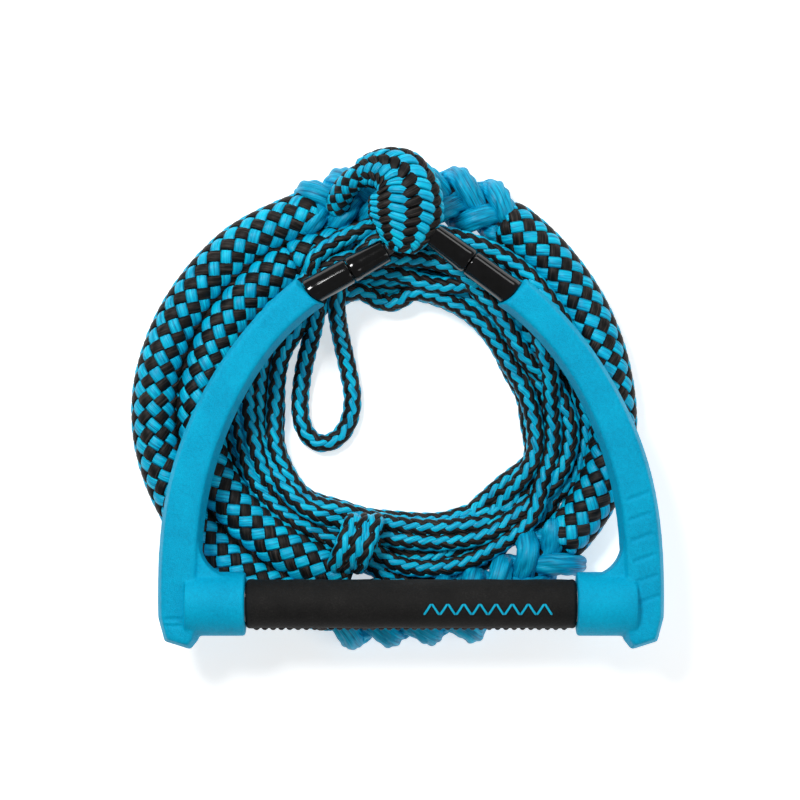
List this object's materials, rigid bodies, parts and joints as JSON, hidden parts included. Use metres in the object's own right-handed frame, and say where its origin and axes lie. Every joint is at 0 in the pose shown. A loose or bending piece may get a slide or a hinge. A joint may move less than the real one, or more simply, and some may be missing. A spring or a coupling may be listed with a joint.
{
  "type": "tow rope handle",
  "caption": "Triangular foam-armed tow handle with a padded grip, lying on its own coiled, partly padded and knotted braided rope.",
  "frame": {"origin": "the middle of the bar, on its axis", "axes": "+X along the bar, +Y from the bar towards the neck of the handle, +Z away from the surface that the coil lies on"},
  "size_m": [0.3293, 0.3069, 0.0715],
  "materials": {
    "arm_foam": "satin moulded foam",
    "grip_foam": "matte foam",
    "sleeve": "gloss",
    "bridle": "braided",
    "braid": "coarse two-colour braid",
    "knots": "flat ribbon braid",
    "line": "two-colour braid",
    "tube": "satin",
    "plug": "moulded"
  },
  "bodies": {
    "coil": {"padded_left_outer": "braid", "padded_left_inner": "braid", "padded_right_outer": "braid", "padded_right_inner": "braid", "padded_top_inner": "braid", "knotted_top": "knots", "knotted_bottom": "knots", "neck_rope": "braid", "tow_line_coil": "line", "tail_loop": "line", "wrap_turns": "line"},
    "handle": {"left_arm": "arm_foam", "right_arm": "arm_foam", "bridle_rope": "bridle", "left_lower_sleeve": "sleeve", "left_upper_sleeve": "sleeve", "right_lower_sleeve": "sleeve", "right_upper_sleeve": "sleeve", "neck_splice": "braid"},
    "bar": {"grip": "grip_foam", "bar_tube": "tube", "left_end_plug": "plug", "right_end_plug": "plug"}
  },
  "joints": [
    {"name": "handle_fold", "type": "hinge", "parent": "coil", "child": "handle", "pos_m": [-0.016, 0.264, 0], "axis": [-1, 0, 0], "range_deg": [0, 75]},
    {"name": "bar_roll", "type": "hinge", "parent": "handle", "child": "bar", "pos_m": [0, 0, 0], "axis": [1, 0, 0], "continuous": true}
  ]
}
